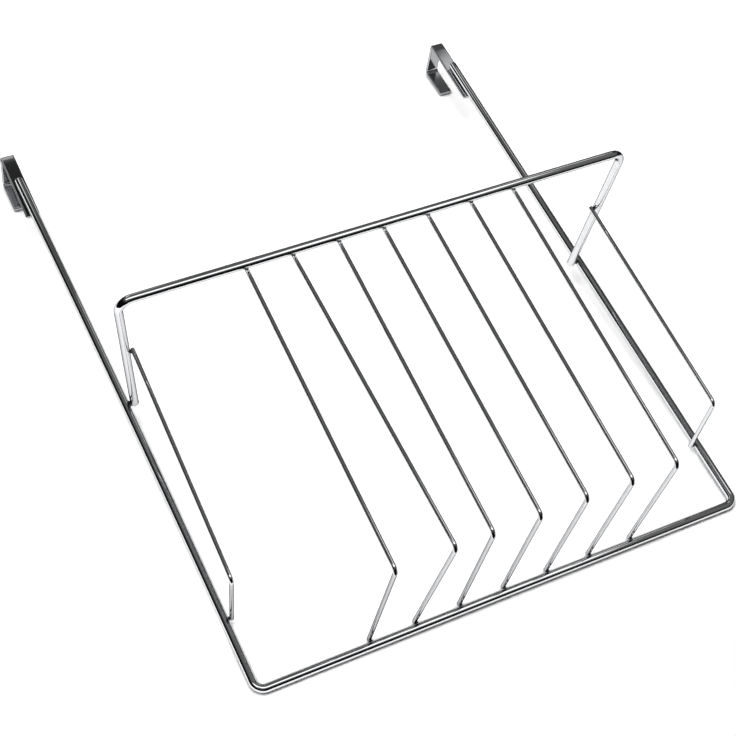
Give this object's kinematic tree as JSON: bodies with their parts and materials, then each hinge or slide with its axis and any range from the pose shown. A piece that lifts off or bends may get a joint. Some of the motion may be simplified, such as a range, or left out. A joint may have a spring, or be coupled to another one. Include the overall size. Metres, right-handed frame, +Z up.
{
  "type": "over-door hanging wire basket",
  "caption": "Chrome wire basket that hangs over a cabinet door on two folded strip hooks; bent wires, welded, form a hanger frame, a rim, a slatted front and open sides.",
  "frame": {"origin": "the middle of the door's top front edge: under the hook webs, at the front flaps' inner faces, midway between the hooks", "axes": "+X to the right as seen from the room, +Y back through the door, +Z up; the basket stands out towards -Y"},
  "size_m": [0.2636, 0.1136, 0.3287],
  "materials": {
    "chrome_wire": "bright chrome plating on drawn steel wire",
    "chrome_strip": "bright chrome plating on rolled steel strip",
    "plated_weld": "weld metal under the same plating, rougher"
  },
  "bodies": {
    "root": {"hanger_frame": "chrome_wire", "rim": "chrome_wire", "front_wire_1": "chrome_wire", "front_wire_2": "chrome_wire", "front_wire_3": "chrome_wire", "front_wire_4": "chrome_wire", "front_wire_5": "chrome_wire", "front_wire_6": "chrome_wire", "front_wire_7": "chrome_wire", "side_wire_left": "chrome_wire", "side_wire_right": "chrome_wire", "hook_left": "chrome_strip", "hook_right": "chrome_strip", "rim_weld_left": "plated_weld", "rim_weld_right": "plated_weld", "front_top_weld_1": "plated_weld", "front_top_weld_2": "plated_weld", "front_top_weld_3": "plated_weld", "front_top_weld_4": "plated_weld", "front_top_weld_5": "plated_weld", "front_top_weld_6": "plated_weld", "front_top_weld_7": "plated_weld", "front_foot_weld_1": "plated_weld", "front_foot_weld_2": "plated_weld", "front_foot_weld_3": "plated_weld", "front_foot_weld_4": "plated_weld", "front_foot_weld_5": "plated_weld", "front_foot_weld_6": "plated_weld", "front_foot_weld_7": "plated_weld", "side_top_weld_left": "plated_weld", "side_top_weld_right": "plated_weld", "side_foot_weld_left": "plated_weld", "side_foot_weld_right": "plated_weld", "hook_weld_left_outer": "plated_weld", "hook_weld_left_inner": "plated_weld", "hook_weld_right_outer": "plated_weld", "hook_weld_right_inner": "plated_weld"}
  },
  "joints": []
}
